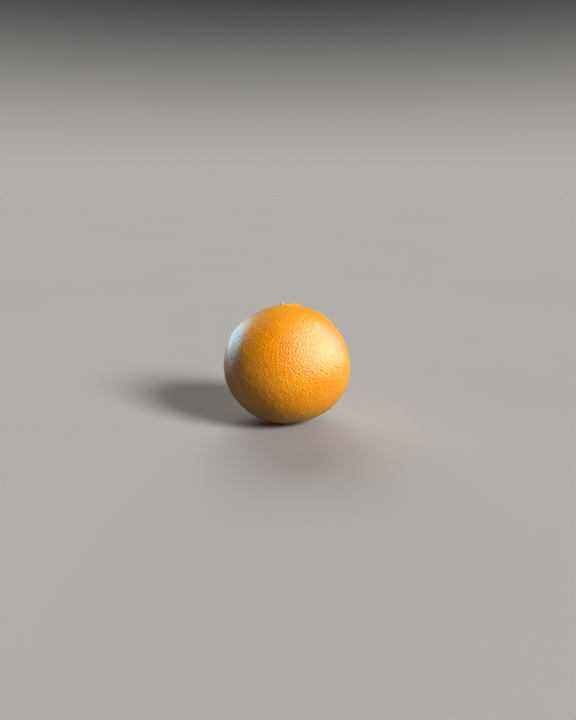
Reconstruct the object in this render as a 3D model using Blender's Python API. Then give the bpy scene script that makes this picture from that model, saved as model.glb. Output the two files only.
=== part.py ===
"""Whole orange with its dried stem button, in metres, +Z up.

The fruit is one closed solid. Its form is one function of direction: an oblate ball with a raised
collar round the stem end, a few low cheeks and a ridge, a blossom scar and a small resting flat.
The stem button is a second closed solid that lies in the collar's hollow with a thin gap under it.
The fruit's own frame has the stem end at +Z, the right-hand side at +X and the front at -Y.
"""
import math

import bmesh
import bpy
from mathutils import Matrix, Vector, noise

# Overall form of the fruit
EQUATOR_RADIUS = 0.03790
STEM_HALF_HEIGHT = 0.03630
BLOSSOM_HALF_HEIGHT = 0.03460
LEAN_BACK = math.radians(16.0)
LEAN_LEFT = math.radians(4.0)
FLAT_DISTANCE = 0.03430

# Low cheeks and one slight hollow: polar angle from the stem end, angle round the fruit, height, spread (degrees)
CHEEKS = (
    (38.0, 0.0, 0.00120, 13.0),
    (52.0, 180.0, 0.00115, 14.0),
    (123.0, 0.0, 0.00100, 26.0),
    (112.0, 180.0, -0.00035, 18.0),
    (62.0, 95.0, 0.00045, 22.0),
    (104.0, -60.0, 0.00030, 24.0),
)

# Ridge down the front left: polar angle, angle round, height, spread along and across (degrees)
RIDGE = (66.0, -134.0, 0.00045, 34.0, 9.0)

# Collar round the stem end
COLLAR_HEIGHT = 0.00080
COLLAR_TILT = 0.00075
COLLAR_HIGH_SIDE = math.radians(-20.0)
COLLAR_RIM = 0.0070
COLLAR_RIM_TILT = 0.0018
COLLAR_FOOT = 0.0122
COLLAR_FOOT_TILT = 0.0036
SEAT_RADIUS = 0.0042
SEAT_DEPTH = 0.00125
FURROW_COUNT = 9
FURROW_DEPTH = 0.00030
FURROW_WANDER = 0.8
FURROW_START = 0.0036
FURROW_END = 0.0150

# Scar at the blossom end
SCAR_RADIUS = 0.0022
SCAR_DEPTH = 0.00035
SCAR_LIP = 0.00010

# Unevenness of the peel: wavelength and height of two noises
SWELL_LENGTH = 0.0170
SWELL_HEIGHT = 0.00016
PEBBLE_LENGTH = 0.0046
PEBBLE_HEIGHT = 0.00006

# Mesh of the fruit: divisions of each icosahedron edge, and how far they crowd at the stem end
DIVISIONS = 24
CROWDING = 0.42
CROWDING_REACH = 0.75

# Stem button
BUTTON_RADIUS = 0.0040
BUTTON_NOTCH = 0.0010
BUTTON_LOBES = 5
BUTTON_TURN = math.radians(172.0)
BUTTON_GAP = 0.00030
BUTTON_EDGE = 0.00032
BUTTON_CENTRE = 0.00080
LOBE_CURLS = (0.00045, 0.00020, 0.00010, 0.00015, 0.00025)
STUB_RADIUS = 0.00100
STUB_FOOT = 0.00150
STUB_HEIGHT = 0.00115
STUB_LEAN = 0.00030
STUB_PIT = 0.00020
BUTTON_SEGMENTS = 45
RING_SHARES = (0.08, 0.16, 0.22, 0.26, 0.31, 0.37, 0.46, 0.60, 0.74, 0.88, 1.0)

# Colours
PEEL_COLOR = (0.89, 0.33, 0.012, 1.0)
BUTTON_COLOR = (0.42, 0.36, 0.16, 1.0)


def smooth_step(value, low, high):
    """0 below low, 1 above high, smooth between."""
    t = min(max((value - low) / (high - low), 0.0), 1.0)
    return t * t * (3.0 - 2.0 * t)


def bell(value, spread):
    """Rounded bump that is 1 at 0 and falls off over the spread."""
    return math.exp(-((value / spread) ** 2))


def direction_at(polar, around):
    """Unit direction in the fruit's frame, angles in radians."""
    flat = math.sin(polar)
    return Vector((flat * math.cos(around), flat * math.sin(around), math.cos(polar)))


def lean_matrix():
    """Turns the fruit's own frame into the part's frame."""
    back = Matrix.Rotation(-LEAN_BACK, 3, "X")
    left = Matrix.Rotation(-LEAN_LEFT, 3, "Y")
    return left @ back


LEAN = lean_matrix()
DOWN = LEAN.transposed() @ Vector((0.0, 0.0, -1.0))


def oblate_radius(direction):
    """Plain ball, flatter at the blossom end than at the stem end."""
    half_height = STEM_HALF_HEIGHT if direction.z > 0.0 else BLOSSOM_HALF_HEIGHT
    across = math.hypot(direction.x, direction.y) / EQUATOR_RADIUS
    along = direction.z / half_height
    return 1.0 / math.hypot(across, along)


def cheek_height(direction):
    """Sum of the low cheeks."""
    total = 0.0
    for polar, around, height, spread in CHEEKS:
        centre = direction_at(math.radians(polar), math.radians(around))
        apart = math.degrees(direction.angle(centre, 0.0))
        total += height * bell(apart, spread)
    return total


def ridge_height(polar, around):
    """Long low ridge that runs from near the collar to below the equator."""
    centre_polar, centre_around, height, along, across = RIDGE
    turn = math.degrees(around) - centre_around
    turn = (turn + 180.0) % 360.0 - 180.0
    turn *= math.sin(polar)
    return height * bell(math.degrees(polar) - centre_polar, along) * bell(turn, across)


def furrow_height(reach, around):
    """Radial furrows that start in the collar's hollow and fade out down its slope."""
    wander = FURROW_WANDER * noise.noise(Vector((math.cos(around), math.sin(around), 0.0)) * 1.7)
    wave = 0.5 + 0.5 * math.cos(FURROW_COUNT * around + 2.0 + 4.0 * wander)
    strength = smooth_step(reach, FURROW_START * 0.6, FURROW_START * 1.4)
    strength *= 1.0 - smooth_step(reach, FURROW_START * 1.8, FURROW_END)
    return -FURROW_DEPTH * strength * wave**3


def collar_height(polar, around):
    """Raised collar, higher and wider on the right, with a hollow for the button."""
    reach = EQUATOR_RADIUS * polar
    rightward = math.cos(around)
    height = COLLAR_HEIGHT + COLLAR_TILT * math.cos(around - COLLAR_HIGH_SIDE)
    rim = COLLAR_RIM + COLLAR_RIM_TILT * rightward
    foot = COLLAR_FOOT + COLLAR_FOOT_TILT * rightward
    rise = height * (1.0 - smooth_step(reach, rim, foot))
    bottom = SEAT_DEPTH + height - COLLAR_HEIGHT
    hollow = bottom * (1.0 - smooth_step(reach, SEAT_RADIUS, rim))
    return rise - hollow + furrow_height(reach, around)


def scar_height(polar):
    """Small sunken scar with a faint lip at the blossom end."""
    reach = BLOSSOM_HALF_HEIGHT * (math.pi - polar)
    lip = SCAR_LIP * bell(reach - SCAR_RADIUS * 1.25, SCAR_RADIUS * 0.4)
    return lip - SCAR_DEPTH * bell(reach, SCAR_RADIUS * 0.7)


def unevenness(direction):
    """Slow swells and low pebbles of the peel."""
    point = direction * EQUATOR_RADIUS
    swell = SWELL_HEIGHT * noise.noise(point / SWELL_LENGTH)
    pebble = PEBBLE_HEIGHT * noise.noise(point / PEBBLE_LENGTH)
    return swell + pebble


def fruit_radius(direction):
    """Distance from the fruit's centre to its surface along a unit direction."""
    polar = math.acos(max(-1.0, min(1.0, direction.z)))
    around = math.atan2(direction.y, direction.x)
    radius = oblate_radius(direction)
    radius += cheek_height(direction)
    radius += ridge_height(polar, around)
    radius += collar_height(polar, around)
    radius += scar_height(polar)
    radius += unevenness(direction)
    downward = direction.dot(DOWN)
    if downward > 0.5:
        radius = min(radius, FLAT_DISTANCE / downward)
    return radius


def crowd_to_stem(direction):
    """Moves a direction towards the stem end, where the form has its finest detail."""
    polar = math.acos(max(-1.0, min(1.0, direction.z)))
    around = math.atan2(direction.y, direction.x)
    polar -= CROWDING * polar * bell(polar, CROWDING_REACH)
    return direction_at(polar, around)


def flat_centre():
    """Middle of the resting flat, as a point in the part's frame before it is moved to zero."""
    total = Vector((0.0, 0.0, 0.0))
    count = 0
    steps = 40
    span = 0.30
    for row in range(-steps, steps + 1):
        for column in range(-steps, steps + 1):
            slope = Vector((span * row / steps, span * column / steps, -1.0)).normalized()
            own = LEAN.transposed() @ slope
            limit = FLAT_DISTANCE / own.dot(DOWN)
            if fruit_radius(own) > limit - 1e-9:
                total += slope * limit
                count += 1
    return total / count


FLAT_CENTRE = flat_centre()


def placed(point):
    """Turns a point of the fruit's frame into the part's frame, with the flat's middle at zero."""
    return LEAN @ point - FLAT_CENTRE


def make_material(name, color, roughness):
    """Plain material for one node."""
    material = bpy.data.materials.new(name)
    material.use_nodes = True
    shader = material.node_tree.nodes["Principled BSDF"]
    shader.inputs["Base Color"].default_value = color
    shader.inputs["Roughness"].default_value = roughness
    material.diffuse_color = color
    return material


def add_object(name, mesh_data, material):
    """Turns a bmesh into a smooth shaded object at the origin."""
    bmesh.ops.recalc_face_normals(mesh_data, faces=mesh_data.faces[:])
    mesh = bpy.data.meshes.new(name)
    mesh_data.to_mesh(mesh)
    mesh_data.free()
    for polygon in mesh.polygons:
        polygon.use_smooth = True
    mesh.materials.append(material)
    item = bpy.data.objects.new(name, mesh)
    bpy.context.scene.collection.objects.link(item)
    return item


def build_orange():
    """Fruit body: an evenly divided icosahedron pushed out to the form."""
    ball = bmesh.new()
    bmesh.ops.create_icosphere(ball, subdivisions=1, radius=1.0)
    bmesh.ops.subdivide_edges(ball, edges=ball.edges[:], cuts=DIVISIONS - 1, use_grid_fill=True)
    for vertex in ball.verts:
        direction = crowd_to_stem(vertex.co.normalized())
        vertex.co = placed(direction * fruit_radius(direction))
    return add_object("orange", ball, make_material("peel", PEEL_COLOR, 0.45))


def lobe_reach(around):
    """Outline of the button: five pointed lobes."""
    phase = (around - BUTTON_TURN) * BUTTON_LOBES / 2.0
    return BUTTON_RADIUS - BUTTON_NOTCH * abs(math.sin(phase)) ** 1.4


def lobe_curl(reach, around):
    """How far a lobe's tip stands up from the fruit."""
    turn = (around - BUTTON_TURN) / (2.0 * math.pi) * BUTTON_LOBES
    nearest = round(turn)
    curl = LOBE_CURLS[nearest % BUTTON_LOBES]
    middle = bell(turn - nearest, 0.33)
    return curl * middle * smooth_step(reach, 0.45 * BUTTON_RADIUS, BUTTON_RADIUS)


def stub_share(reach):
    """1 on the end of the short stem stub, 0 beyond its foot."""
    return 1.0 - smooth_step(reach, STUB_RADIUS, STUB_FOOT)


def button_thickness(reach, share):
    """Thin at the rim, thicker in the middle, with the stub of the stem and a pit in its end."""
    body = BUTTON_EDGE + (BUTTON_CENTRE - BUTTON_EDGE) * (1.0 - share**2.2)
    stub = STUB_HEIGHT * stub_share(reach)
    pit = STUB_PIT * bell(reach, STUB_RADIUS * 0.6)
    return body + stub - pit


def button_point(share, around, upper):
    """Point of the button's upper or under side; the inner rings are round, the rim is lobed."""
    edge = STUB_FOOT + (lobe_reach(around) - STUB_FOOT) * share**2 + (1.0 - share**2) * STUB_FOOT
    reach = edge * share
    direction = direction_at(reach / EQUATOR_RADIUS, around)
    height = BUTTON_GAP + lobe_curl(reach, around)
    sideways = 0.0
    if upper:
        height += button_thickness(reach, share)
        sideways = STUB_LEAN * stub_share(reach)
    point = direction * (fruit_radius(direction) + height)
    point.x -= sideways
    return placed(point)


def build_button():
    """Stem button: two matching grids of rings closed at the rim."""
    button = bmesh.new()
    sides = []
    for upper in (True, False):
        middle = button.verts.new(button_point(0.0, 0.0, upper))
        rings = []
        for share in RING_SHARES:
            loop = []
            for segment in range(BUTTON_SEGMENTS):
                around = 2.0 * math.pi * segment / BUTTON_SEGMENTS
                loop.append(button.verts.new(button_point(share, around, upper)))
            rings.append(loop)
        sides.append(rings)
        for segment in range(BUTTON_SEGMENTS):
            following = (segment + 1) % BUTTON_SEGMENTS
            button.faces.new((middle, rings[0][segment], rings[0][following]))
            for inner, outer in zip(rings, rings[1:]):
                corners = (inner[segment], outer[segment], outer[following], inner[following])
                button.faces.new(corners)
    top_rim = sides[0][-1]
    low_rim = sides[1][-1]
    for segment in range(BUTTON_SEGMENTS):
        following = (segment + 1) % BUTTON_SEGMENTS
        corners = (top_rim[segment], low_rim[segment], low_rim[following], top_rim[following])
        button.faces.new(corners)
    bmesh.ops.triangulate(button, faces=button.faces[:])
    return add_object("stem_button", button, make_material("button", BUTTON_COLOR, 0.75))


for item in list(bpy.data.objects):
    bpy.data.objects.remove(item, do_unlink=True)

build_orange()
build_button()
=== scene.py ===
"""Whole orange: the pitted peel and the dry stem button, dressed over the part's solids.

The peel follows the same form as the solid, on a finer mesh with real pits in it.
The fruit's own frame has the stem end at +Z, the right-hand side at +X and the front at -Y.
"""
import math
import random

import bmesh
import bpy
from mathutils import Matrix, Vector, noise


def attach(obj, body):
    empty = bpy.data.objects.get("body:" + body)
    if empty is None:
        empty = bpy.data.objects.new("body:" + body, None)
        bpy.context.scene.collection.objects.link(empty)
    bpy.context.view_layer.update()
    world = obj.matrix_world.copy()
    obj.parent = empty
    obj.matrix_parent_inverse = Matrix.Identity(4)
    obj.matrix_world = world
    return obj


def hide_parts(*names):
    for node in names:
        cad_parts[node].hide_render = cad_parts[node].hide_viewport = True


# Overall form of the fruit, as in the solids
EQUATOR_RADIUS = 0.03790
STEM_HALF_HEIGHT = 0.03630
BLOSSOM_HALF_HEIGHT = 0.03460
LEAN_BACK = math.radians(16.0)
LEAN_LEFT = math.radians(4.0)

# Resting flat, only where a direction points down by more than FLAT_SIDE, and the grid of slopes
# that finds its middle
FLAT_DISTANCE = 0.03430
FLAT_SIDE = 0.5
FLAT_STEPS = 40
FLAT_SPAN = 0.30
FLAT_TOLERANCE = 1e-9

# Low cheeks and one slight hollow: polar angle from the stem end, angle round, height, spread
CHEEKS = (
    (38.0, 0.0, 0.00120, 13.0),
    (52.0, 180.0, 0.00115, 14.0),
    (123.0, 0.0, 0.00100, 26.0),
    (112.0, 180.0, -0.00035, 18.0),
    (62.0, 95.0, 0.00045, 22.0),
    (104.0, -60.0, 0.00030, 24.0),
)

# Ridge down the front left: polar angle, angle round, height, spread along and across (degrees)
RIDGE = (66.0, -134.0, 0.00045, 34.0, 9.0)

# Collar round the stem end
COLLAR_HEIGHT = 0.00080
COLLAR_TILT = 0.00075
COLLAR_HIGH_SIDE = math.radians(-20.0)
COLLAR_RIM = 0.0070
COLLAR_RIM_TILT = 0.0018
COLLAR_FOOT = 0.0122
COLLAR_FOOT_TILT = 0.0036
SEAT_RADIUS = 0.0042
SEAT_DEPTH = 0.00125

# Furrows down the collar. They begin, are full and begin to fade at the shares FURROW_FADE of
# FURROW_START
FURROW_COUNT = 9
FURROW_DEPTH = 0.00030
FURROW_WANDER = 0.8
FURROW_NOISE_SCALE = 1.7
FURROW_PHASE = 2.0
FURROW_SWAY = 4.0
FURROW_SHARPNESS = 3
FURROW_START = 0.0036
FURROW_FADE = (0.6, 1.4, 1.8)
FURROW_END = 0.0150

# Scar at the blossom end; the places and widths are shares of its radius
SCAR_RADIUS = 0.0022
SCAR_DEPTH = 0.00035
SCAR_WIDTH = 0.7
SCAR_LIP = 0.00010
SCAR_LIP_PLACE = 1.25
SCAR_LIP_WIDTH = 0.4

# Unevenness of the peel: wavelength and height of two noises
SWELL_LENGTH = 0.0170
SWELL_HEIGHT = 0.00016
PEBBLE_LENGTH = 0.0046
PEBBLE_HEIGHT = 0.00006

# Fine mesh of the peel
DIVISIONS = 98
CROWDING = 0.28
CROWDING_REACH = 0.75
PEEL_INSET = 0.00004
SEED = 11

# Pits in the peel, and how far the mesh is drawn in towards them. SMALLEST_SPAN is twice the
# least area that a triangle keeps on the unit ball
PIT_DEPTHS = (0.00024, 0.00044)
PIT_RADII = (0.00052, 0.00078)
PIT_ROUNDNESS = 1.5
PIT_PULL = 0.42
PULL_START = 0.00050
PULL_END = 0.00130
JITTER = 0.00005
SMALLEST_SPAN = 8e-6
UNFOLD_ROUNDS = 12
RIPPLE_LENGTH = 0.0026
RIPPLE_DEPTH = 0.00010

# Where the pits are shallower: in the stem's hollow, round the scar and on the resting flat
HOLLOW_PIT_SHARE = 0.70
HOLLOW_PIT_GAIN = 0.30
HOLLOW_PIT_FADE = (0.004, 0.010)
SCAR_PIT_FADE = (0.001, 0.005)
FLAT_PIT_SHARE = 0.3
FLAT_MARGIN = 1e-6

# Fine creases that run out from the button
CREASE_COUNT = 21
CREASE_DEPTH = 0.00024
CREASE_WANDER = 4.5
CREASE_NOISE_SCALE = 1.3
CREASE_SHARPNESS = 1.5
CREASE_START = 0.0024
CREASE_FULL = 0.0048
CREASE_END = 0.0110

# Stem button; LOBE_CURL_START is a share of its radius, LOBE_CURL_WIDTH of a lobe and
# STUB_PIT_WIDTH of the stub's radius
BUTTON_RADIUS = 0.0040
BUTTON_NOTCH = 0.0010
BUTTON_NOTCH_SHAPE = 1.4
BUTTON_LOBES = 5
BUTTON_TURN = math.radians(172.0)
BUTTON_GAP = 0.00030
BUTTON_EDGE = 0.00032
BUTTON_CENTRE = 0.00080
BUTTON_DOME = 2.2
LOBE_CURLS = (0.00045, 0.00020, 0.00010, 0.00015, 0.00025)
LOBE_CURL_WIDTH = 0.33
LOBE_CURL_START = 0.45
STUB_RADIUS = 0.00100
STUB_FOOT = 0.00150
STUB_HEIGHT = 0.00115
STUB_LEAN = 0.00030
STUB_PIT = 0.00020
STUB_PIT_WIDTH = 0.6
BUTTON_SEGMENTS = 150
BUTTON_RINGS = 40
RING_CROWDING = 1.15

# Relief of the button: streaks that run outwards, and grain
STREAK_TURNS = 9.0
STREAK_STRETCH = 400.0
STREAK_DEPTH = 0.00010
GRAIN_SCALE = 2600.0
GRAIN_SLICE = 0.3
GRAIN_DEPTH = 0.00003

# Reach of the colours on the mesh: round the stem end, on the scar and on the stub
STEM_COLOR_FADE = (0.003, 0.019)
SCAR_COLOR_FADE = (0.0006, 0.0026)
STUB_COLOR_FADE = (0.0014, 0.0022)

# Colours of the peel: red, green, blue and opacity. PEEL_GLOW is how far red, green and blue
# light spread under the skin, as shares of PEEL_GLOW_DEPTH
PEEL_DEEP = (0.94, 0.372, 0.0015, 1.0)
PEEL_BRIGHT = (0.98, 0.452, 0.002, 1.0)
PEEL_FRECKLE = (0.96, 0.51, 0.008, 1.0)
PEEL_AT_STEM = (0.95, 0.53, 0.008, 1.0)
# Deeper orange in the pits: partly the oil glands' own colour, partly painted shade in the hollows
PEEL_PIT_GLAND_AND_SHADE = (0.74, 0.19, 0.001, 1.0)
PEEL_SCAR = (0.30, 0.16, 0.05, 1.0)
PEEL_GLOW = (1.0, 0.35, 0.08)
PEEL_GLOW_DEPTH = 0.0025

# Colours of the button
BUTTON_DARK = (0.24, 0.20, 0.06, 1.0)
BUTTON_PALE = (0.44, 0.37, 0.14, 1.0)
BUTTON_STREAK = (0.15, 0.10, 0.035, 1.0)
BUTTON_RIM = (0.19, 0.10, 0.04, 1.0)
WOOD_DARK = (0.56, 0.44, 0.28, 1.0)
WOOD_PALE = (0.76, 0.66, 0.48, 1.0)

# How strongly the peel's colours cover each other
FRECKLE_SHARE = 0.35
STEM_TINT_SHARE = 0.55
# The pits' share is partly painted shade in the hollows and partly the glands' own deeper colour
PIT_GLAND_AND_SHADE_SHARE = 0.70

# Ranges of the textures' and attributes' values that the colours and bumps change over
WHOLE = (0.0, 1.0)
NOISE_RANGE = (0.35, 0.65)
FRECKLE_RANGE = (0.40, 0.70)
PIT_GLAND_AND_SHADE_RANGE = (0.05, 0.95)
SCAR_RANGE = (0.80, 1.35)
PORE_RANGE = (0.05, 0.42)
HOLLOW_RANGE = (0.4, 0.9)
STREAK_RANGE = (0.45, 0.75)
RIM_RANGE = (1.05, 1.45)

# Gloss of the peel: waxy, but in the hollow round the stem the coat fades out and up to
# HOLLOW_ROUGHNESS is added
GLOSS_RANGE = (0.3, 0.7)
PEEL_ROUGHNESS = (0.27, 0.36)
HOLLOW_GLOSS_RANGE = (0.3, 1.0)
HOLLOW_ROUGHNESS = 0.25
PEEL_SPECULAR = 0.42
PEEL_SUBSURFACE = 0.15
COAT_RANGE = (0.3, 0.9)
COAT_WEIGHT = 0.32
COAT_ROUGHNESS = 0.15

# Dull surfaces
BUTTON_ROUGHNESS = (0.68, 0.85)
FLOOR_ROUGHNESS = 0.9

# Texture sizes in cells per metre
MOTTLE_SCALE = 48.0
FRECKLE_SCALE = 420.0
SCAR_EDGE_SCALE = 1100.0
GLOSS_SCALE = 900.0
PORE_SCALE = 1700.0
SKIN_GRAIN_SCALE = 3800.0
WRINKLE_SCALE = 1500.0
BLOTCH_SCALE = 900.0
RIM_EDGE_SCALE = 1400.0
FIBRE_SCALE = 5200.0
DRY_GRAIN_SCALE = 3000.0
FLOOR_SCALE = 3.0

# Bumps: height in metres, and strength
PORE_BUMP = (0.00005, 0.6)
SKIN_GRAIN_BUMP = (0.00003, 0.5)
WRINKLE_BUMP = (0.00022, 0.8)
DRY_GRAIN_BUMP = (0.00008, 0.7)

# Camera: the photograph's height, distance and angle of view
CAMERA_AIM = Vector((0.0011, -0.0011, 0.0378))
CAMERA_DISTANCE = 0.402
CAMERA_ELEVATION = math.radians(15.0)
CAMERA_LENS = 33.4
CAMERA_SENSOR = 36.0
CAMERA_NEAREST = 0.01
VIEW_GAMMA = 0.85

# Floor and lights
FLOOR_RADIUS = 6.0
FLOOR_SEGMENTS = 128
FLOOR_DROP = 0.0002
FLOOR_DARK = (0.43, 0.434, 0.438, 1.0)
FLOOR_PALE = (0.46, 0.464, 0.468, 1.0)
LIGHT_DISTANCE = 1.0

# Light of the surroundings, by height on the unit ball: it is darkest from DARKEST_HEIGHT
# upwards, and below the horizon it fades to the share FLOOR_GLOW
AIR_COLOR = (0.97, 0.935, 0.90, 1.0)
HORIZON_LIGHT = 0.52
OVERHEAD_LIGHT = 0.03
DARKEST_HEIGHT = 0.30
FLOOR_GLOW = 0.12
FADE_START = -0.05
FADE_END = -0.09


def smooth_step(value, low, high):
    """0 below low, 1 above high, smooth between."""
    t = min(max((value - low) / (high - low), 0.0), 1.0)
    return t * t * (3.0 - 2.0 * t)


def bell(value, spread):
    """Rounded bump that is 1 at 0 and falls off over the spread."""
    return math.exp(-((value / spread) ** 2))


def direction_at(polar, around):
    """Unit direction in the fruit's frame, angles in radians."""
    flat = math.sin(polar)
    return Vector((flat * math.cos(around), flat * math.sin(around), math.cos(polar)))


def lean_matrix():
    """Turns the fruit's own frame into the part's frame."""
    back = Matrix.Rotation(-LEAN_BACK, 3, "X")
    left = Matrix.Rotation(-LEAN_LEFT, 3, "Y")
    return left @ back


LEAN = lean_matrix()
DOWN = LEAN.transposed() @ Vector((0.0, 0.0, -1.0))


def oblate_radius(direction):
    """Plain ball, flatter at the blossom end than at the stem end."""
    half_height = STEM_HALF_HEIGHT if direction.z > 0.0 else BLOSSOM_HALF_HEIGHT
    across = math.hypot(direction.x, direction.y) / EQUATOR_RADIUS
    along = direction.z / half_height
    return 1.0 / math.hypot(across, along)


def cheek_height(direction):
    """Sum of the low cheeks."""
    total = 0.0
    for polar, around, height, spread in CHEEKS:
        centre = direction_at(math.radians(polar), math.radians(around))
        apart = math.degrees(direction.angle(centre, 0.0))
        total += height * bell(apart, spread)
    return total


def ridge_height(polar, around):
    """Long low ridge that runs from near the collar to below the equator."""
    centre_polar, centre_around, height, along, across = RIDGE
    turn = math.degrees(around) - centre_around
    turn = (turn + 180.0) % 360.0 - 180.0
    turn *= math.sin(polar)
    return height * bell(math.degrees(polar) - centre_polar, along) * bell(turn, across)


def furrow_height(reach, around):
    """Radial furrows that start in the collar's hollow and fade out down its slope."""
    place = Vector((math.cos(around), math.sin(around), 0.0))
    wander = FURROW_WANDER * noise.noise(place * FURROW_NOISE_SCALE)
    wave = 0.5 + 0.5 * math.cos(FURROW_COUNT * around + FURROW_PHASE + FURROW_SWAY * wander)
    fade_in, full, fade_out = [FURROW_START * share for share in FURROW_FADE]
    strength = smooth_step(reach, fade_in, full)
    strength *= 1.0 - smooth_step(reach, fade_out, FURROW_END)
    return -FURROW_DEPTH * strength * wave**FURROW_SHARPNESS


def collar_height(polar, around):
    """Raised collar, higher and wider on the right, with a hollow for the button."""
    reach = EQUATOR_RADIUS * polar
    rightward = math.cos(around)
    height = COLLAR_HEIGHT + COLLAR_TILT * math.cos(around - COLLAR_HIGH_SIDE)
    rim = COLLAR_RIM + COLLAR_RIM_TILT * rightward
    foot = COLLAR_FOOT + COLLAR_FOOT_TILT * rightward
    rise = height * (1.0 - smooth_step(reach, rim, foot))
    bottom = SEAT_DEPTH + height - COLLAR_HEIGHT
    hollow = bottom * (1.0 - smooth_step(reach, SEAT_RADIUS, rim))
    return rise - hollow + furrow_height(reach, around)


def scar_height(polar):
    """Small sunken scar with a faint lip at the blossom end."""
    reach = BLOSSOM_HALF_HEIGHT * (math.pi - polar)
    lip = SCAR_LIP * bell(reach - SCAR_RADIUS * SCAR_LIP_PLACE, SCAR_RADIUS * SCAR_LIP_WIDTH)
    return lip - SCAR_DEPTH * bell(reach, SCAR_RADIUS * SCAR_WIDTH)


def unevenness(direction):
    """Slow swells and low pebbles of the peel."""
    point = direction * EQUATOR_RADIUS
    swell = SWELL_HEIGHT * noise.noise(point / SWELL_LENGTH)
    pebble = PEBBLE_HEIGHT * noise.noise(point / PEBBLE_LENGTH)
    return swell + pebble


def angles_of(direction):
    """Angle from the stem end and angle round, of a unit direction in the fruit's frame."""
    polar = math.acos(max(-1.0, min(1.0, direction.z)))
    return polar, math.atan2(direction.y, direction.x)


def fruit_radius(direction):
    """Distance from the fruit's centre to its surface along a unit direction."""
    polar, around = angles_of(direction)
    radius = oblate_radius(direction)
    radius += cheek_height(direction)
    radius += ridge_height(polar, around)
    radius += collar_height(polar, around)
    radius += scar_height(polar)
    radius += unevenness(direction)
    downward = direction.dot(DOWN)
    if downward > FLAT_SIDE:
        radius = min(radius, FLAT_DISTANCE / downward)
    return radius


def crowd_to_stem(direction):
    """Moves a direction towards the stem end, where the form has its finest detail."""
    polar, around = angles_of(direction)
    polar -= CROWDING * polar * bell(polar, CROWDING_REACH)
    return direction_at(polar, around)


def flat_centre():
    """Middle of the resting flat, as a point in the part's frame before it is moved to zero."""
    total = Vector((0.0, 0.0, 0.0))
    count = 0
    grid = [FLAT_SPAN * step / FLAT_STEPS for step in range(-FLAT_STEPS, FLAT_STEPS + 1)]
    for rightward in grid:
        for backward in grid:
            slope = Vector((rightward, backward, -1.0)).normalized()
            own = LEAN.transposed() @ slope
            limit = FLAT_DISTANCE / own.dot(DOWN)
            if fruit_radius(own) > limit - FLAT_TOLERANCE:
                total += slope * limit
                count += 1
    return total / count


FLAT_CENTRE = flat_centre()


def placed(point):
    """Turns a point of the fruit's frame into the part's frame, with the flat's middle at zero."""
    return LEAN @ point - FLAT_CENTRE


def add_piece(name, mesh_data, material, node):
    """Turns a bmesh into a smooth piece that rides on the root and stands for a node."""
    bmesh.ops.recalc_face_normals(mesh_data, faces=mesh_data.faces[:])
    mesh = bpy.data.meshes.new(name)
    mesh_data.to_mesh(mesh)
    mesh_data.free()
    for polygon in mesh.polygons:
        polygon.use_smooth = True
    mesh.materials.append(material)
    piece = bpy.data.objects.new(name, mesh)
    bpy.context.scene.collection.objects.link(piece)
    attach(piece, "root")
    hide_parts(node)
    return piece


def ring_around(vertex):
    """Neighbours of a vertex."""
    return [edge.other_vert(vertex) for edge in vertex.link_edges]


def two_rings(vertex):
    """The vertices one and two steps away."""
    found = {}
    for near in ring_around(vertex):
        found[near.index] = near
        for further in ring_around(near):
            found[further.index] = further
    found.pop(vertex.index)
    return list(found.values())


def choose_pits(ball, chance):
    """Scattered vertices with at least two free ones between them, each with those around it."""
    order = list(range(len(ball.verts)))
    chance.shuffle(order)
    blocked = set()
    pits = []
    for index in order:
        if index not in blocked:
            middle = ball.verts[index]
            near = two_rings(middle)
            pits.append((middle, near))
            blocked.add(index)
            blocked.update(vertex.index for vertex in near)
    return pits


def draw_in(ball, pits):
    """Draws the vertices round each pit towards it, so that the pits get more of the mesh."""
    moves = [Vector((0.0, 0.0, 0.0)) for vertex in ball.verts]
    for middle, near in pits:
        for vertex in near:
            apart = middle.co - vertex.co
            reach = apart.length * EQUATOR_RADIUS
            share = PIT_PULL * (1.0 - smooth_step(reach, PULL_START, PULL_END))
            moves[vertex.index] += apart * share
    for vertex in ball.verts:
        vertex.co = (vertex.co + moves[vertex.index]).normalized()


def pit_field(ball, pits, chance):
    """Depth of every vertex below the peel's form."""
    field = [0.0] * len(ball.verts)
    for middle, near in pits:
        depth = chance.uniform(*PIT_DEPTHS)
        radius = chance.uniform(*PIT_RADII) / EQUATOR_RADIUS
        field[middle.index] = depth
        for vertex in near:
            share = min((vertex.co - middle.co).length / radius, 1.0)
            field[vertex.index] += depth * (1.0 - share**2) ** PIT_ROUNDNESS
    return field


def spread_directions(ball, chance):
    """Crowds the directions towards the stem end and shakes them a little."""
    for vertex in ball.verts:
        shake = Vector((chance.uniform(-1, 1), chance.uniform(-1, 1), chance.uniform(-1, 1)))
        direction = crowd_to_stem(vertex.co)
        vertex.co = (direction * EQUATOR_RADIUS + shake * JITTER).normalized()


def folded_faces(ball):
    """Triangles of the unit ball that are turned over or almost flat to a line."""
    found = []
    for face in ball.faces:
        first, second, third = [vertex.co for vertex in face.verts]
        if (second - first).cross(third - first).dot(first) < SMALLEST_SPAN:
            found.append(face)
    return found


def unfold(ball):
    """Evens out the few spots where the drawing in and shaking have folded the mesh."""
    for _ in range(UNFOLD_ROUNDS):
        for face in folded_faces(ball):
            for vertex in face.verts:
                near = ring_around(vertex)
                middle = sum((other.co for other in near), Vector((0.0, 0.0, 0.0))) / len(near)
                vertex.co = vertex.co.lerp(middle, 0.5).normalized()


def crease_depth(reach, around):
    """Depth of the fine creases round the button."""
    place = Vector((math.cos(around), math.sin(around), reach / COLLAR_RIM))
    wander = CREASE_WANDER * noise.noise(place * CREASE_NOISE_SCALE)
    wave = 0.5 + 0.5 * math.cos(CREASE_COUNT * around + wander)
    strength = smooth_step(reach, CREASE_START, CREASE_FULL)
    strength *= 1.0 - smooth_step(reach, CREASE_FULL, CREASE_END)
    return CREASE_DEPTH * strength * wave**CREASE_SHARPNESS


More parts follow.
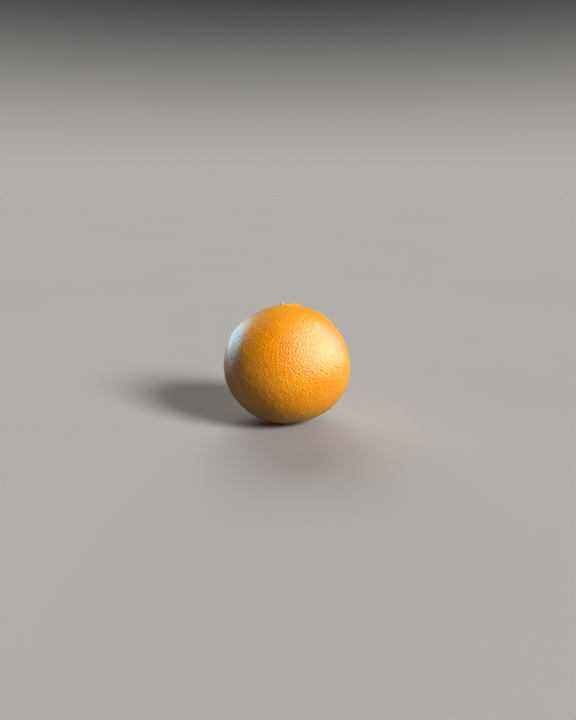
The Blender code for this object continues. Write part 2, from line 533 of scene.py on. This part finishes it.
def divided_ball():
    """Unit ball of small, almost even triangles."""
    ball = bmesh.new()
    bmesh.ops.create_icosphere(ball, subdivisions=1, radius=1.0)
    bmesh.ops.subdivide_edges(ball, edges=ball.edges[:], cuts=DIVISIONS - 1, use_grid_fill=True)
    ball.verts.ensure_lookup_table()
    ball.verts.index_update()
    for vertex in ball.verts:
        vertex.co.normalize()
    return ball


def build_peel():
    """Peel: the fruit's form on a fine, evenly divided icosahedron, with pits pressed into it."""
    chance = random.Random(SEED)
    ball = divided_ball()
    pits = choose_pits(ball, chance)
    draw_in(ball, pits)
    field = pit_field(ball, pits, chance)
    spread_directions(ball, chance)
    unfold(ball)
    pit_layer = ball.verts.layers.float.new("pit")
    stem_layer = ball.verts.layers.float.new("stem")
    scar_layer = ball.verts.layers.float.new("scar")
    for vertex in ball.verts:
        direction = vertex.co.copy()
        polar, around = angles_of(direction)
        stem_reach = EQUATOR_RADIUS * polar
        scar_reach = BLOSSOM_HALF_HEIGHT * (math.pi - polar)
        scar_share = smooth_step(scar_reach, *SCAR_PIT_FADE)
        depth = field[vertex.index]
        depth *= HOLLOW_PIT_SHARE + HOLLOW_PIT_GAIN * smooth_step(stem_reach, *HOLLOW_PIT_FADE)
        depth *= scar_share
        ripple = RIPPLE_DEPTH * (0.5 + 0.5 * noise.noise(direction * EQUATOR_RADIUS / RIPPLE_LENGTH))
        ripple += crease_depth(stem_reach, around)
        radius = fruit_radius(direction)
        if direction.dot(DOWN) * radius > FLAT_DISTANCE - FLAT_MARGIN:
            depth *= FLAT_PIT_SHARE
            ripple = 0.0
        # Share of each pit's depth, which the peel's colour uses for deeper orange and painted shade
        # in the pits
        vertex[pit_layer] = field[vertex.index] * scar_share / PIT_DEPTHS[1]
        vertex[stem_layer] = 1.0 - smooth_step(stem_reach, *STEM_COLOR_FADE)
        vertex[scar_layer] = 1.0 - smooth_step(scar_reach, *SCAR_COLOR_FADE)
        vertex.co = placed(direction * (radius - PEEL_INSET - ripple - depth))
    return add_piece("peel", ball, peel_material(), "orange")


def lobe_reach(around):
    """Outline of the button: five pointed lobes."""
    phase = (around - BUTTON_TURN) * BUTTON_LOBES / 2.0
    return BUTTON_RADIUS - BUTTON_NOTCH * abs(math.sin(phase)) ** BUTTON_NOTCH_SHAPE


def lobe_curl(reach, around):
    """How far a lobe's tip stands up from the fruit."""
    turn = (around - BUTTON_TURN) / (2.0 * math.pi) * BUTTON_LOBES
    nearest = round(turn)
    curl = LOBE_CURLS[nearest % BUTTON_LOBES]
    middle = bell(turn - nearest, LOBE_CURL_WIDTH)
    return curl * middle * smooth_step(reach, LOBE_CURL_START * BUTTON_RADIUS, BUTTON_RADIUS)


def stub_share(reach):
    """1 on the end of the short stem stub, 0 beyond its foot."""
    return 1.0 - smooth_step(reach, STUB_RADIUS, STUB_FOOT)


def button_thickness(reach, share):
    """Thin at the rim, thicker in the middle, with the stub of the stem and a pit in its end."""
    body = BUTTON_EDGE + (BUTTON_CENTRE - BUTTON_EDGE) * (1.0 - share**BUTTON_DOME)
    stub = STUB_HEIGHT * stub_share(reach)
    pit = STUB_PIT * bell(reach, STUB_RADIUS * STUB_PIT_WIDTH)
    return body + stub - pit


def button_streak(reach, around):
    """Streaks that run out from the stub, 0 to 1."""
    point = Vector((math.cos(around), math.sin(around), 0.0)) * STREAK_TURNS
    return 0.5 + 0.5 * noise.noise(point + Vector((0.0, 0.0, reach * STREAK_STRETCH)))


def button_wrinkle(reach, around):
    """Fine dry wrinkles, always inwards from the solid's form."""
    point = Vector((reach * math.cos(around), reach * math.sin(around), GRAIN_SLICE))
    grain = 0.5 + 0.5 * noise.noise(point * GRAIN_SCALE)
    return -STREAK_DEPTH * button_streak(reach, around) - GRAIN_DEPTH * grain


def button_point(share, around, upper):
    """Point of the button's upper or under side; the inner rings are round, the rim is lobed."""
    edge = STUB_FOOT + (lobe_reach(around) - STUB_FOOT) * share**2 + (1.0 - share**2) * STUB_FOOT
    reach = edge * share
    direction = direction_at(reach / EQUATOR_RADIUS, around)
    height = BUTTON_GAP + lobe_curl(reach, around)
    sideways = 0.0
    if upper:
        height += button_thickness(reach, share) + button_wrinkle(reach, around)
        sideways = STUB_LEAN * stub_share(reach)
    point = direction * (fruit_radius(direction) + height)
    point.x -= sideways
    return placed(point)


def build_button():
    """Stem button: two matching grids of rings closed at the rim."""
    button = bmesh.new()
    cut_layer = button.verts.layers.float.new("cut")
    rim_layer = button.verts.layers.float.new("rim")
    streak_layer = button.verts.layers.float.new("streak")
    sides = []
    for upper in (True, False):
        middle = button.verts.new(button_point(0.0, 0.0, upper))
        middle[cut_layer] = 1.0 if upper else 0.0
        rings = []
        for ring in range(1, BUTTON_RINGS + 1):
            share = (ring / BUTTON_RINGS) ** RING_CROWDING
            loop = []
            for segment in range(BUTTON_SEGMENTS):
                around = 2.0 * math.pi * segment / BUTTON_SEGMENTS
                vertex = button.verts.new(button_point(share, around, upper))
                stub = 1.0 - smooth_step(share * BUTTON_RADIUS, *STUB_COLOR_FADE)
                vertex[cut_layer] = stub if upper else 0.0
                vertex[rim_layer] = share
                vertex[streak_layer] = button_streak(share * BUTTON_RADIUS, around)
                loop.append(vertex)
            rings.append(loop)
        sides.append(rings)
        for segment in range(BUTTON_SEGMENTS):
            following = (segment + 1) % BUTTON_SEGMENTS
            button.faces.new((middle, rings[0][segment], rings[0][following]))
            for inner, outer in zip(rings, rings[1:]):
                corners = (inner[segment], outer[segment], outer[following], inner[following])
                button.faces.new(corners)
    top_rim = sides[0][-1]
    low_rim = sides[1][-1]
    for segment in range(BUTTON_SEGMENTS):
        following = (segment + 1) % BUTTON_SEGMENTS
        corners = (top_rim[segment], low_rim[segment], low_rim[following], top_rim[following])
        button.faces.new(corners)
    return add_piece("calyx", button, button_material(), "stem_button")


def range_node(tree, value, old_range, new_range):
    """Node that maps a value from one range to another and holds it inside."""
    node = tree.nodes.new("ShaderNodeMapRange")
    node.inputs["From Min"].default_value = old_range[0]
    node.inputs["From Max"].default_value = old_range[1]
    node.inputs["To Min"].default_value = new_range[0]
    node.inputs["To Max"].default_value = new_range[1]
    tree.links.new(value, node.inputs["Value"])
    return node


class Nodes:
    """Short helper for building one material's node tree."""

    def __init__(self, name):
        self.material = bpy.data.materials.new(name)
        self.material.use_nodes = True
        self.tree = self.material.node_tree
        self.shader = self.tree.nodes["Principled BSDF"]
        self.place = self.tree.nodes.new("ShaderNodeTexCoord").outputs["Object"]

    def link(self, source, target):
        """Joins an output to an input."""
        self.tree.links.new(source, target)

    def noise(self, scale, detail=2.0):
        """Noise value over the object, scale in cells per metre."""
        node = self.tree.nodes.new("ShaderNodeTexNoise")
        node.inputs["Scale"].default_value = scale
        node.inputs["Detail"].default_value = detail
        self.link(self.place, node.inputs["Vector"])
        return node.outputs["Fac"]

    def cells(self, scale):
        """Distance to the nearest of scattered points, scale in cells per metre."""
        node = self.tree.nodes.new("ShaderNodeTexVoronoi")
        node.inputs["Scale"].default_value = scale
        self.link(self.place, node.inputs["Vector"])
        return node.outputs["Distance"]

    def attribute(self, name):
        """Value stored on the mesh's vertices."""
        node = self.tree.nodes.new("ShaderNodeAttribute")
        node.attribute_name = name
        return node.outputs["Fac"]

    def spread(self, value, old_range, new_range=WHOLE):
        """Value mapped from one range to another, held inside it."""
        return range_node(self.tree, value, old_range, new_range).outputs["Result"]

    def mix(self, amount, first, second):
        """Colour between two colours; each is a colour or an output."""
        node = self.tree.nodes.new("ShaderNodeMix")
        node.data_type = "RGBA"
        self.link(amount, node.inputs["Factor"])
        for socket, value in (("A", first), ("B", second)):
            target = [slot for slot in node.inputs if slot.name == socket and slot.type == "RGBA"][0]
            if isinstance(value, tuple):
                target.default_value = value
            else:
                self.link(value, target)
        return [slot for slot in node.outputs if slot.type == "RGBA"][0]

    def combine(self, operation, first, second):
        """Two values put together by a plain operation."""
        node = self.tree.nodes.new("ShaderNodeMath")
        node.operation = operation
        self.link(first, node.inputs[0])
        self.link(second, node.inputs[1])
        return node.outputs["Value"]

    def lift(self, value, extra):
        """Sum of two values."""
        return self.combine("ADD", value, extra)

    def times(self, value, share):
        """Product of two values."""
        return self.combine("MULTIPLY", value, share)

    def bump(self, height, size, normal=None):
        """Normal bent by a height; the size is its distance in metres and its strength."""
        distance, strength = size
        node = self.tree.nodes.new("ShaderNodeBump")
        node.inputs["Strength"].default_value = strength
        node.inputs["Distance"].default_value = distance
        self.link(height, node.inputs["Height"])
        if normal is not None:
            self.link(normal, node.inputs["Normal"])
        return node.outputs["Normal"]


def peel_color(m):
    """Mottle and freckles, then the stem end, the pits (deeper orange: partly their own colour,
    partly painted shade) and the scar over them.
    """
    mottle = m.spread(m.noise(MOTTLE_SCALE, detail=3.0), NOISE_RANGE)
    color = m.mix(mottle, PEEL_DEEP, PEEL_BRIGHT)
    freckle = m.spread(m.noise(FRECKLE_SCALE), FRECKLE_RANGE)
    color = m.mix(m.spread(freckle, WHOLE, (0.0, FRECKLE_SHARE)), color, PEEL_FRECKLE)
    stem = m.spread(m.attribute("stem"), WHOLE, (0.0, STEM_TINT_SHARE))
    color = m.mix(stem, color, PEEL_AT_STEM)
    # Pits painted deeper orange: partly the glands' own colour, partly painted shade in the hollows
    pit = m.spread(m.attribute("pit"), PIT_GLAND_AND_SHADE_RANGE, (0.0, PIT_GLAND_AND_SHADE_SHARE))
    color = m.mix(pit, color, PEEL_PIT_GLAND_AND_SHADE)
    ragged = m.lift(m.attribute("scar"), m.noise(SCAR_EDGE_SCALE, detail=4.0))
    return m.mix(m.spread(ragged, SCAR_RANGE), color, PEEL_SCAR)


def peel_normal(m):
    """Fine pores and grain everywhere, and wrinkles in the hollow round the stem."""
    pores = m.spread(m.cells(PORE_SCALE), PORE_RANGE)
    normal = m.bump(pores, PORE_BUMP)
    normal = m.bump(m.noise(SKIN_GRAIN_SCALE), SKIN_GRAIN_BUMP, normal)
    hollow = m.spread(m.attribute("stem"), HOLLOW_RANGE)
    wrinkles = m.times(m.noise(WRINKLE_SCALE, detail=4.0), hollow)
    return m.bump(wrinkles, WRINKLE_BUMP, normal)


def peel_material():
    """Waxy orange peel: mottled colour, deeper in the pits (partly the glands' own colour, partly
    painted shade), yellower at the stem end.
    """
    m = Nodes("peel_skin")
    m.link(peel_color(m), m.shader.inputs["Base Color"])
    rough = m.spread(m.noise(GLOSS_SCALE), GLOSS_RANGE, PEEL_ROUGHNESS)
    duller = m.spread(m.attribute("stem"), HOLLOW_GLOSS_RANGE, (0.0, HOLLOW_ROUGHNESS))
    m.link(m.lift(rough, duller), m.shader.inputs["Roughness"])
    m.link(peel_normal(m), m.shader.inputs["Normal"])
    m.shader.inputs["Specular IOR Level"].default_value = PEEL_SPECULAR
    m.shader.inputs["Subsurface Weight"].default_value = PEEL_SUBSURFACE
    m.shader.inputs["Subsurface Radius"].default_value = PEEL_GLOW
    m.shader.inputs["Subsurface Scale"].default_value = PEEL_GLOW_DEPTH
    coat = m.spread(m.attribute("stem"), COAT_RANGE, (COAT_WEIGHT, 0.0))
    m.link(coat, m.shader.inputs["Coat Weight"])
    m.shader.inputs["Coat Roughness"].default_value = COAT_ROUGHNESS
    return m.material


def button_material():
    """Dry olive-brown calyx with a pale end where the stem broke off."""
    m = Nodes("button_skin")
    blotch = m.spread(m.noise(BLOTCH_SCALE, detail=4.0), NOISE_RANGE)
    color = m.mix(blotch, BUTTON_DARK, BUTTON_PALE)
    color = m.mix(m.spread(m.attribute("streak"), STREAK_RANGE), color, BUTTON_STREAK)
    ragged = m.lift(m.attribute("rim"), m.noise(RIM_EDGE_SCALE, detail=3.0))
    color = m.mix(m.spread(ragged, RIM_RANGE), color, BUTTON_RIM)
    wood = m.mix(m.spread(m.noise(FIBRE_SCALE), NOISE_RANGE), WOOD_DARK, WOOD_PALE)
    color = m.mix(m.attribute("cut"), color, wood)
    m.link(color, m.shader.inputs["Base Color"])
    m.link(m.spread(blotch, WHOLE, BUTTON_ROUGHNESS), m.shader.inputs["Roughness"])
    grain = m.noise(DRY_GRAIN_SCALE, detail=3.0)
    m.link(m.bump(grain, DRY_GRAIN_BUMP), m.shader.inputs["Normal"])
    return m.material


def floor_material():
    """Plain pale floor with a very faint unevenness."""
    m = Nodes("floor_paint")
    m.link(m.mix(m.noise(FLOOR_SCALE), FLOOR_DARK, FLOOR_PALE), m.shader.inputs["Base Color"])
    m.shader.inputs["Roughness"].default_value = FLOOR_ROUGHNESS
    m.shader.inputs["Specular IOR Level"].default_value = 0.0
    return m.material


def build_floor():
    """Round pale floor; what it throws up at the fruit comes from the air's lower half instead."""
    disc = bmesh.new()
    bmesh.ops.create_circle(disc, cap_ends=True, segments=FLOOR_SEGMENTS, radius=FLOOR_RADIUS)
    mesh = bpy.data.meshes.new("floor")
    disc.to_mesh(mesh)
    disc.free()
    mesh.materials.append(floor_material())
    floor = bpy.data.objects.new("floor", mesh)
    floor.location.z = -FLOOR_DROP
    floor.visible_diffuse = False
    bpy.context.scene.collection.objects.link(floor)


def aim(item, target):
    """Turns a light or camera so that it looks at a point."""
    item.rotation_euler = (target - item.location).to_track_quat("-Z", "Y").to_euler()


def add_light(name, direction, width, strength, color):
    """Distant soft light from a direction, as wide as its angle in degrees."""
    data = bpy.data.lights.new(name, "SUN")
    data.angle = math.radians(width)
    data.energy = strength
    data.color = color
    lamp = bpy.data.objects.new(name, data)
    lamp.location = Vector(direction).normalized() * LIGHT_DISTANCE
    aim(lamp, Vector((0.0, 0.0, 0.0)))
    bpy.context.scene.collection.objects.link(lamp)
    return lamp


def build_lights():
    """Key from the front right and back light; the sheen and the cool window are only reflected."""
    key = add_light(
        "key", direction=(0.68, -0.56, 0.50), width=20.0, strength=4.4, color=(1.0, 0.94, 0.90)
    )
    key.visible_glossy = False
    sheen = add_light(
        "sheen", direction=(0.86, -0.22, 0.44), width=94.0, strength=13.65, color=(0.952, 0.629, 1.0)
    )
    sheen.visible_diffuse = False
    back = add_light(
        "back", direction=(-0.10, 0.90, 0.40), width=60.0, strength=3.0, color=(1.0, 0.98, 0.95)
    )
    back.visible_glossy = False
    window = add_light(
        "window", direction=(-0.70, 0.70, 0.14), width=48.0, strength=3.0, color=(0.52, 0.86, 1.0)
    )
    window.visible_diffuse = False


def build_world():
    """Studio air that is pale at the horizon, where the floor ends, and darker above and below."""
    world = bpy.data.worlds.new("studio")
    world.use_nodes = True
    tree = world.node_tree
    place = tree.nodes.new("ShaderNodeTexCoord")
    parts = tree.nodes.new("ShaderNodeSeparateXYZ")
    tree.links.new(place.outputs["Generated"], parts.inputs["Vector"])
    height = parts.outputs["Z"]
    rise = range_node(tree, height, (0.0, DARKEST_HEIGHT), (HORIZON_LIGHT, OVERHEAD_LIGHT))
    rise.interpolation_type = "SMOOTHSTEP"
    fade = range_node(tree, height, (FADE_END, FADE_START), (FLOOR_GLOW, 1.0))
    total = tree.nodes.new("ShaderNodeMath")
    total.operation = "MULTIPLY"
    background = tree.nodes["Background"]
    background.inputs["Color"].default_value = AIR_COLOR
    tree.links.new(rise.outputs["Result"], total.inputs[0])
    tree.links.new(fade.outputs["Result"], total.inputs[1])
    tree.links.new(total.outputs["Value"], background.inputs["Strength"])
    bpy.context.scene.world = world


def build_camera():
    """Camera at the photograph's angle and distance."""
    data = bpy.data.cameras.new("camera")
    data.sensor_fit = "VERTICAL"
    data.sensor_height = CAMERA_SENSOR
    data.lens = CAMERA_LENS
    data.clip_start = CAMERA_NEAREST
    camera = bpy.data.objects.new("camera", data)
    bpy.context.scene.collection.objects.link(camera)
    back = Vector((0.0, -math.cos(CAMERA_ELEVATION), math.sin(CAMERA_ELEVATION)))
    camera.location = CAMERA_AIM + back * CAMERA_DISTANCE
    aim(camera, CAMERA_AIM)
    bpy.context.scene.camera = camera


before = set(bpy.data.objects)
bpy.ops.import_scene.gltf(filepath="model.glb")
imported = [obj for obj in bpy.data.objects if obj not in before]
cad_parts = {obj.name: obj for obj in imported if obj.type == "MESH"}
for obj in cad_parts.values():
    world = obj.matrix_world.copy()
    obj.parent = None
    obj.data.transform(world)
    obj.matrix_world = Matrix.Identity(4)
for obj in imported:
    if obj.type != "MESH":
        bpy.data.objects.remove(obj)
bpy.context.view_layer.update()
build_peel()
build_button()
build_floor()
build_lights()
build_world()
build_camera()
bpy.context.scene.view_settings.view_transform = "Standard"
bpy.context.scene.view_settings.gamma = VIEW_GAMMA
